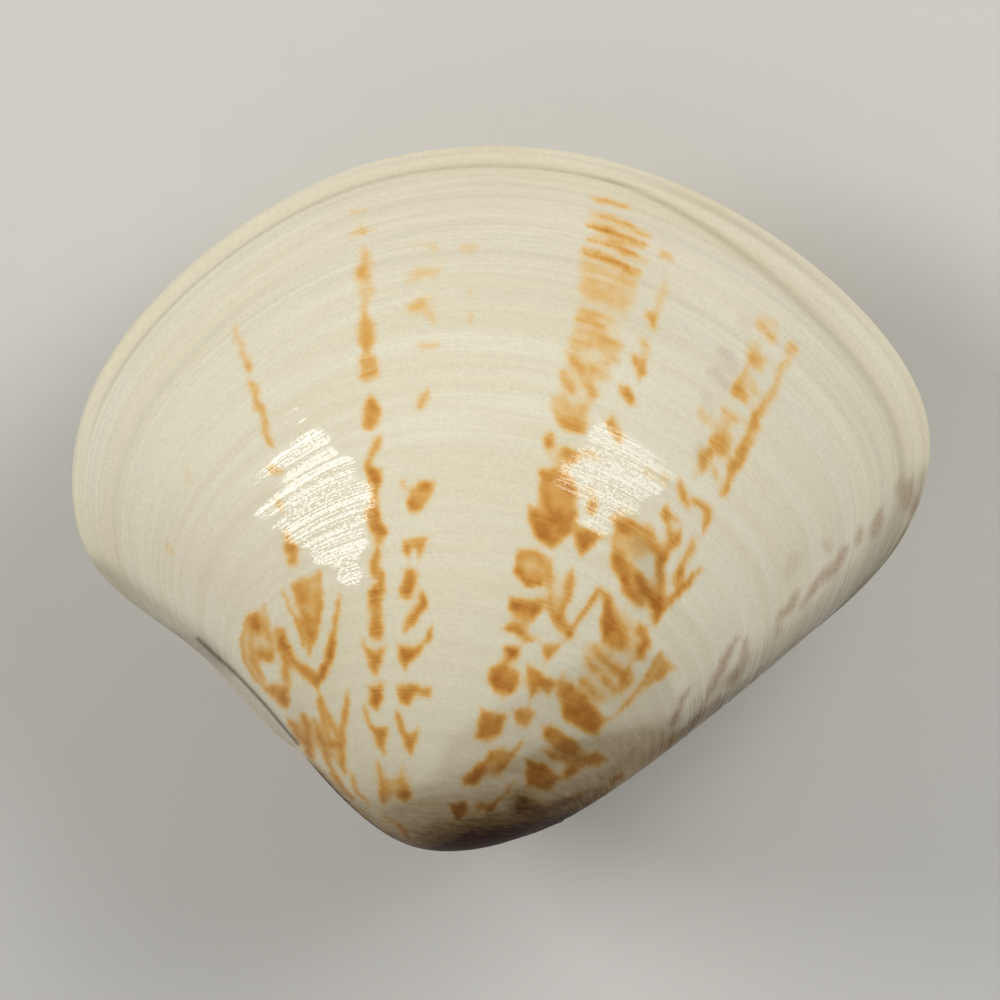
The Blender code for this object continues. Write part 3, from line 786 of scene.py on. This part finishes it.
def makeValve(name, side, marks):
    # a grid rolled up onto the growth rings, side 1 for the right valve and -1 for the left
    bpy.ops.object.select_all(action="DESELECT")
    spokes = valveForm["spokes"]
    steps = ringCount - 1
    bpy.ops.mesh.primitive_grid_add(x_subdivisions=spokes, y_subdivisions=steps, size=2.0, calc_uvs=True)
    piece = bpy.context.object
    piece.name = name
    mesh = piece.data
    mesh.name = name
    flat = np.empty(len(mesh.vertices) * 3)
    mesh.vertices.foreach_get("co", flat)
    flat = flat.reshape(-1, 3)
    spoke = np.rint((flat[:, 0] + 1.0) / 2.0 * spokes).astype(int) % spokes
    ring = np.rint((flat[:, 1] + 1.0) / 2.0 * steps).astype(int)
    points = toWorld(shellGrid[ring, spoke] * (1.0, 1.0, side))
    points[:, 2] = np.maximum(points[:, 2], 0.0)  # the worn spot that it lies on
    mesh.vertices.foreach_set("co", points.ravel())
    # the map runs round the seam in u and back in growth in v
    layer = mesh.uv_layers[0]
    corners = np.empty(len(mesh.loops) * 2)
    layer.uv.foreach_get("vector", corners)
    corners = corners.reshape(-1, 2)
    corner = np.empty(len(mesh.loops), dtype=int)
    mesh.loops.foreach_get("vertex_index", corner)
    corners[:, 1] = growthAngles[ring[corner]]
    layer.uv.foreach_set("vector", corners.ravel())
    everywhere = np.zeros(ringCount * spokes)
    for label, values in shadesOf(marks).items():
        everywhere[: len(values)] = values
        layer = mesh.attributes.new(label, "FLOAT", "POINT")
        layer.data.foreach_set("value", everywhere[ring * spokes + spoke])
    tidyFaces(piece)
    return piece


class Wire:
    # a socket that can stand in a sum
    def __init__(self, look, socket):
        self.look = look
        self.socket = socket

    def sum(self, operation, other, swapped=False):
        first, second = (other, self) if swapped else (self, other)
        return self.look.add("ShaderNodeMath", {"operation": operation}, {0: first, 1: second})

    def __add__(self, other):
        return self.sum("ADD", other)

    __radd__ = __add__

    def __mul__(self, other):
        return self.sum("MULTIPLY", other)

    __rmul__ = __mul__

    def __sub__(self, other):
        return self.sum("SUBTRACT", other)

    def __rsub__(self, other):
        return self.sum("SUBTRACT", other, True)

    def between(self, low, high):
        # 0 below low, 1 above high, and smooth in between
        settings = {"interpolation_type": "SMOOTHSTEP"}
        values = {"Value": self, "From Min": low, "From Max": high}
        return self.look.add("ShaderNodeMapRange", settings, values)


class Look:
    # one material under construction
    def __init__(self, name):
        self.material = bpy.data.materials.new(name)
        self.material.use_nodes = True
        self.tree = self.material.node_tree
        self.tree.nodes.clear()

    def add(self, kind, settings=None, values=None, output=0):
        node = self.tree.nodes.new(kind)
        for label, value in (settings or {}).items():
            setattr(node, label, value)
        for label, value in (values or {}).items():
            if isinstance(value, Wire):
                self.tree.links.new(value.socket, node.inputs[label])
            else:
                node.inputs[label].default_value = value
        return Wire(self, node.outputs[output]) if node.outputs else node

    def attribute(self, label):
        return self.add("ShaderNodeAttribute", {"attribute_name": label}, output="Fac")

    def mixed(self, share, first, second):
        settings = {"data_type": "RGBA"}
        return self.add("ShaderNodeMix", settings, {0: share, 6: first, 7: second}, output=2)

    def stretched(self, source, scale):
        # the same coordinates, stretched along each axis
        return self.add("ShaderNodeVectorMath", {"operation": "MULTIPLY"}, {0: source, 1: scale})

    def clouds(self, source, size, detail=3.0, rough=0.5):
        values = {"Vector": source, "Scale": size, "Detail": detail, "Roughness": rough}
        return self.add("ShaderNodeTexNoise", {}, values, output=0)

    def finish(self, surface):
        self.add("ShaderNodeOutputMaterial", {}, {"Surface": surface})
        return self.material


def hue(red, green, blue):
    # screen colour from 0 to 255 as the renderer's light
    parts = [value / 255.0 for value in (red, green, blue)]
    return (*[p / 12.92 if p <= 0.04045 else ((p + 0.055) / 1.055) ** 2.4 for p in parts], 1.0)


shellLook = {
    "ground": (222, 215, 188),
    "groundWarm": (214, 201, 158),
    "groundPale": (229, 223, 200),
    "groundRosy": (216, 198, 176),
    "groundGrey": (188, 185, 171),
    "lightMark": (226, 186, 116),
    "mark": (206, 148, 68),
    "darkMark": (168, 98, 32),
    "dusky": (146, 96, 60),
    # the brown of the beak and its foot mixed with painted shade, the markings seen through it, and the
    # darkest painted shade where the beak turns under
    "brownAndShade": (132, 106, 66),
    "markInBrownAndShade": (92, 56, 24),
    "deepBrownShade": (48, 24, 12),
    # the painted shade of the steep margins
    "margin": (88, 72, 56),
    # the painted shade in the halt groove, also the grey of the fine grain
    "groove": (150, 140, 112),
    "lunule": (200, 190, 174),
    # the painted shade in the lunule's crease
    "line": (92, 76, 60),
    "roughness": 0.26,
    "brownedAndShaded": 0.2,  # added to the roughness where the shell is browned and painted shade lies
    "striaHeight": 0.00003,
    "striaPitch": 190.0,  # growth lines for each radian of growth
    "glossPitch": 260.0,  # the polished growth lines that break up a highlight
    "glossAround": 5.0,
    "gloss": (0.47, 0.54),
    "grown": (0.55, 1.15),  # radians of growth over which the lines wear smooth, and by how much
    "grownMost": 0.75,
    "mottlePitch": 1300.0,  # patterns for each metre
    "patchPitch": 90.0,
    "rosyPitch": (70.0, 110.0, 70.0),
    "grainPitch": 5000.0,
    "speckPitch": 7000.0,
    "paleBands": (0.35, 0.65),
    "warmPatches": (0.45, 0.8),
    "warmMost": 0.35,
    "rosyPatches": (0.45, 0.75),
    "rosyMost": 0.3,
    "newest": (0.08, 0.45),  # radians of growth over which the greyer newest band fades out
    "greyLines": (2.0, 60.0),  # round the shell and back in growth
    "greyLeast": 0.04,
    "greyMost": 0.30,
    "grainMost": 0.10,
    "lunuleMost": 0.8,
    "inkLeast": 0.60,  # how strongly the mottle breaks up the markings
    "inkMottle": 0.76,
    "hatching": 0.18,
    "lightRange": (0.03, 0.56),  # strengths over which each brown of a marking comes in
    "markRange": (0.30, 0.74),
    "darkRange": (0.60, 0.98),
    "darkMost": 0.85,
    "grooveMost": 0.6,
    "lineMost": 0.85,
}


def shellMaterial(name):
    look = Look(name)
    form = shellLook
    here = look.add("ShaderNodeTexCoord", output="Object")
    chart = look.add("ShaderNodeUVMap", {"uv_map": "UVMap"})
    ink = look.attribute("ink")
    dusk = look.attribute("dusk")
    brownAndShade = look.attribute("brownAndShade")
    # growth lines: noise that is long round the shell and short back in growth
    pitch = form["striaPitch"]
    fineLines = look.clouds(look.stretched(chart, (7.0, pitch, 1.0)), 1.0, 2.0, 0.6)
    broadLines = look.clouds(look.stretched(chart, (3.0, pitch * 0.13, 1.0)), 1.0, 3.0, 0.5)
    cuts = look.clouds(look.stretched(chart, (11.0, pitch * 0.8, 1.0)), 1.0, 1.0, 0.5).between(0.62, 0.72)
    split = look.add("ShaderNodeSeparateXYZ", {}, {"Vector": chart}, output="Y")
    grown = 1.0 - form["grownMost"] * split.between(*form["grown"])  # the older shell is worn smooth
    mottle = look.clouds(here, form["mottlePitch"], 3.0, 0.55)
    patches = look.clouds(here, form["patchPitch"], 2.0, 0.5)
    rosy = look.clouds(look.stretched(here, form["rosyPitch"]), 1.0, 3.0, 0.5)
    # the newest band is greyer, in lines
    newest = 1.0 - split.between(*form["newest"])
    greyChart = look.stretched(chart, (*form["greyLines"], 1.0))
    greyLines = look.clouds(greyChart, 1.0, 4.0, 0.7).between(0.45, 0.62)
    grain = look.clouds(here, form["grainPitch"], 2.0, 0.5)
    # ground colour, in pale and warm bands
    bands = broadLines.between(*form["paleBands"]) * grown
    ground = look.mixed(bands, hue(*form["ground"]), hue(*form["groundPale"]))
    warmed = patches.between(*form["warmPatches"]) * form["warmMost"]
    ground = look.mixed(warmed, ground, hue(*form["groundWarm"]))
    rosed = rosy.between(*form["rosyPatches"]) * form["rosyMost"]
    ground = look.mixed(rosed, ground, hue(*form["groundRosy"]))
    greyed = newest * (form["greyLeast"] + form["greyMost"] * greyLines)
    ground = look.mixed(greyed, ground, hue(*form["groundGrey"]))
    ground = look.mixed(look.attribute("lunule") * form["lunuleMost"], ground, hue(*form["lunule"]))
    ground = look.mixed(grain.between(0.35, 0.75) * form["grainMost"], ground, hue(*form["groove"]))
    # markings, thinner at their edges and hatched along the growth lines
    hatched = form["hatching"] * ink * fineLines.between(0.52, 0.72)
    strength = ink * (form["inkLeast"] + form["inkMottle"] * mottle) - hatched
    colour = look.mixed(strength.between(*form["lightRange"]), ground, hue(*form["lightMark"]))
    colour = look.mixed(strength.between(*form["markRange"]), colour, hue(*form["mark"]))
    darkest = strength.between(*form["darkRange"]) * form["darkMost"]
    colour = look.mixed(darkest, colour, hue(*form["darkMark"]))
    colour = look.mixed(dusk * (0.7 + 0.6 * grain), colour, hue(*form["dusky"]))
    # painted shade in the halt groove and along the faint line near the rear seam
    colour = look.mixed(look.attribute("groove") * form["grooveMost"], colour, hue(*form["groove"]))
    # painted shade in the lunule's crease and beside it
    colour = look.mixed(look.attribute("line") * form["lineMost"], colour, hue(*form["line"]))
    # painted shade along the steep margins, broken by the growth lines
    shade = look.attribute("margin") * (0.62 + 0.6 * fineLines.between(0.35, 0.65))
    colour = look.mixed(shade, colour, hue(*form["margin"]))
    # the browned beak and its foot with painted shade over them, and painted shade on what looks down, where
    # the markings show darker through the brown and the shade
    worn = look.clouds(look.stretched(chart, (30.0, 40.0, 1.0)), 1.0, 3.0, 0.6)
    brownedAndShaded = brownAndShade * (0.75 + 0.5 * worn)
    stainAndShade = look.mixed(strength.between(0.2, 0.7), hue(*form["brownAndShade"]), hue(*form["markInBrownAndShade"]))
    colour = look.mixed(brownedAndShaded.between(0.0, 0.75), colour, stainAndShade)
    # the darkest painted shade, in brown, where the beak turns under
    colour = look.mixed(brownedAndShaded.between(0.5, 0.95), colour, hue(*form["deepBrownShade"]))
    # a broken polish: bright growth lines with duller ones between them
    glossChart = look.stretched(chart, (form["glossAround"], form["glossPitch"], 1.0))
    lines = look.clouds(glossChart, 1.0, 4.0, 0.65)
    specks = look.clouds(here, form["speckPitch"], 2.0, 0.6)
    polish = (lines * 0.66 + specks * 0.34).between(*form["gloss"])
    polish = polish * (1.0 - brownAndShade) * split.between(0.02, 0.10)
    height = (fineLines * 0.6 + broadLines * 0.4 - cuts * 0.3) * grown + grain * 0.1
    values = {"Strength": 0.5, "Distance": form["striaHeight"], "Height": height}
    bump = look.add("ShaderNodeBump", {}, values)
    values = {"Base Color": colour, "Roughness": form["roughness"] + form["brownedAndShaded"] * brownAndShade, "Normal": bump}
    values |= {"Specular IOR Level": 0.02, "Coat Weight": polish, "Coat Roughness": 0.06, "Coat IOR": 1.55}
    shader = look.add("ShaderNodeBsdfPrincipled", {}, values)
    return look.finish(shader)


rightValve = makeValve("right_valve_shell", 1.0, rightMarks)
leftValve = makeValve("left_valve_shell", -1.0, leftMarks)
for piece, node in ((rightValve, "right_valve"), (leftValve, "left_valve")):
    piece.data.materials.append(shellMaterial(piece.name))
    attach(piece, "root")
    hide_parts(node)
print("valves made:", len(rightValve.data.polygons), "faces each")

# the ligament's places are millimetres along the shell and from the seam
ligamentForm = {
    "start": 0.6,
    "end": 5.2,
    "width": 1.5,
    "height": 0.7,
    "clearance": 0.3,
    "seamSteps": 2000,  # points round the seam, and how many of them the rear side has
    "rearSteps": 700,
    "segments": 48,
    "rings": 64,
    "dark": (46, 28, 16),
    "light": (112, 74, 40),
    "fibres": (60.0, 6.0, 1.0),  # across the band and along it
    "fibreHeight": 0.00006,
    "spotPitch": 900.0,
    "roughness": 0.45,
    "spotted": 0.2,
}


def makeLigament():
    # a rounded band along the seam behind the beaks
    form = ligamentForm
    outline = smoothCurve(shellForm["seamOutline"], form["seamSteps"])[: form["rearSteps"]]
    rear = np.array([point for point in outline if form["start"] <= point[0] <= form["end"]])
    bpy.ops.object.select_all(action="DESELECT")
    segments, rings = form["segments"], form["rings"]
    bpy.ops.mesh.primitive_uv_sphere_add(segments=segments, ring_count=rings, radius=1.0, calc_uvs=True)
    piece = bpy.context.object
    piece.name = piece.data.name = "ligament_band"
    for vertex in piece.data.vertices:
        x, y, z = vertex.co
        place = (z + 1.0) / 2.0 * (len(rear) - 1)
        i = min(int(place), len(rear) - 2)
        here = rear[i] + (rear[i + 1] - rear[i]) * (place - i)
        along = rear[i + 1] - rear[i]
        out = np.array([along[1], -along[0]]) / np.linalg.norm(along)
        flat = here + out * (form["clearance"] + form["height"] / 2.0 * (1.0 + y))
        vertex.co = toWorld(np.array([flat[0], flat[1], x * form["width"] / 2.0]))
    tidyFaces(piece)
    return piece


def ligamentMaterial():
    look = Look("ligament")
    form = ligamentForm
    here = look.add("ShaderNodeTexCoord", output="Object")
    chart = look.add("ShaderNodeUVMap", {"uv_map": "UVMap"})
    fibres = look.clouds(look.stretched(chart, form["fibres"]), 1.0, 3.0, 0.6)
    spots = look.clouds(here, form["spotPitch"], 3.0, 0.5)
    share = (fibres * 0.7 + spots * 0.3).between(0.35, 0.65)
    colour = look.mixed(share, hue(*form["dark"]), hue(*form["light"]))
    values = {"Strength": 0.6, "Distance": form["fibreHeight"], "Height": fibres}
    bump = look.add("ShaderNodeBump", {}, values)
    values = {"Base Color": colour, "Roughness": form["roughness"] + form["spotted"] * spots, "Normal": bump}
    return look.finish(look.add("ShaderNodeBsdfPrincipled", {}, values))


ligament = makeLigament()
ligament.data.materials.append(ligamentMaterial())
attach(ligament, "root")
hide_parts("ligament")
print("ligament made")

# floor, camera and lights
studio = {
    "floorSize": 1.2,
    "floorColour": (214, 212, 206),
    "floorDark": (0.55, 0.55, 0.54, 1.0),
    "floorGrain": 400.0,
    "floorRoughness": 0.9,
    "worldColour": (1.0, 0.99, 0.97),
    "worldStrength": 0.26,
    "middle": (2.0, 14.0, 8.0),  # mm, the place in the shell that the softboxes face
    "boxAway": 0.40,
    # softboxes: direction round from the rear end towards the belly and up out of the valve, size and
    # power, and whether the polish mirrors them
    "softboxes": (
        {"around": 162.0, "up": 31.0, "wide": 0.19, "tall": 0.15, "power": 0.76, "mirrored": True},
        {"around": 40.0, "up": 47.5, "wide": 0.15, "tall": 0.12, "power": 0.31, "mirrored": True},
        {"around": 39.0, "up": 47.0, "wide": 0.26, "tall": 0.22, "power": 0.53, "mirrored": False},
        {"around": 235.0, "up": 48.0, "wide": 0.30, "tall": 0.30, "power": 0.15, "mirrored": False},
        {"around": 55.0, "up": 18.0, "wide": 0.20, "tall": 0.20, "power": 0.12, "mirrored": False},
    ),
}


def onShell(around, up):
    # direction in the world from two angles of the shell's own frame
    around, up = math.radians(around), math.radians(up)
    flat = math.cos(up)
    return restTurn @ Vector((flat * math.cos(around), flat * math.sin(around), math.sin(up)))


def makeFloor():
    bpy.ops.object.select_all(action="DESELECT")
    bpy.ops.mesh.primitive_plane_add(size=studio["floorSize"], location=(0.0, 0.0, 0.0))
    floor = bpy.context.object
    floor.name = "floor"
    look = Look("floor")
    here = look.add("ShaderNodeTexCoord", output="Object")
    grain = look.clouds(here, studio["floorGrain"], 2.0, 0.5)
    tone = look.mixed(grain * 0.1, hue(*studio["floorColour"]), studio["floorDark"])
    values = {"Base Color": tone, "Roughness": studio["floorRoughness"]}
    shader = look.add("ShaderNodeBsdfPrincipled", {}, values)
    floor.data.materials.append(look.finish(shader))


def makeCamera():
    form = cameraForm
    bpy.ops.object.select_all(action="DESELECT")
    place = toWorld(np.array([form["aim"][0], form["aim"][1], form["away"]]))
    bpy.ops.object.camera_add(location=place, rotation=restTurn.to_euler())
    camera = bpy.context.object
    camera.data.sensor_width = form["sensor"]
    camera.data.lens = form["sensor"] * form["away"] / form["pictureWidth"]
    camera.data.clip_start = 0.01
    camera.data.clip_end = 10.0
    bpy.context.scene.camera = camera


def makeLights():
    middle = Vector(toWorld(np.array(studio["middle"])))
    for k, box in enumerate(studio["softboxes"]):
        towards = onShell(box["around"], box["up"])
        bpy.ops.object.light_add(type="AREA", location=middle + towards * studio["boxAway"])
        light = bpy.context.object
        light.name = "softbox %d" % (k + 1)
        light.data.shape = "RECTANGLE"
        light.data.size = box["wide"]
        light.data.size_y = box["tall"]
        light.data.energy = box["power"]
        light.visible_glossy = box["mirrored"]
        light.rotation_euler = (-towards).to_track_quat("-Z", "Y").to_euler()
    world = bpy.data.worlds.new("studio")
    world.use_nodes = True
    background = world.node_tree.nodes["Background"]
    background.inputs["Color"].default_value = (*studio["worldColour"], 1.0)
    background.inputs["Strength"].default_value = studio["worldStrength"]
    bpy.context.scene.world = world
    bpy.context.scene.view_settings.view_transform = "Standard"


makeFloor()
makeCamera()
makeLights()
print("stage, camera and lights made")
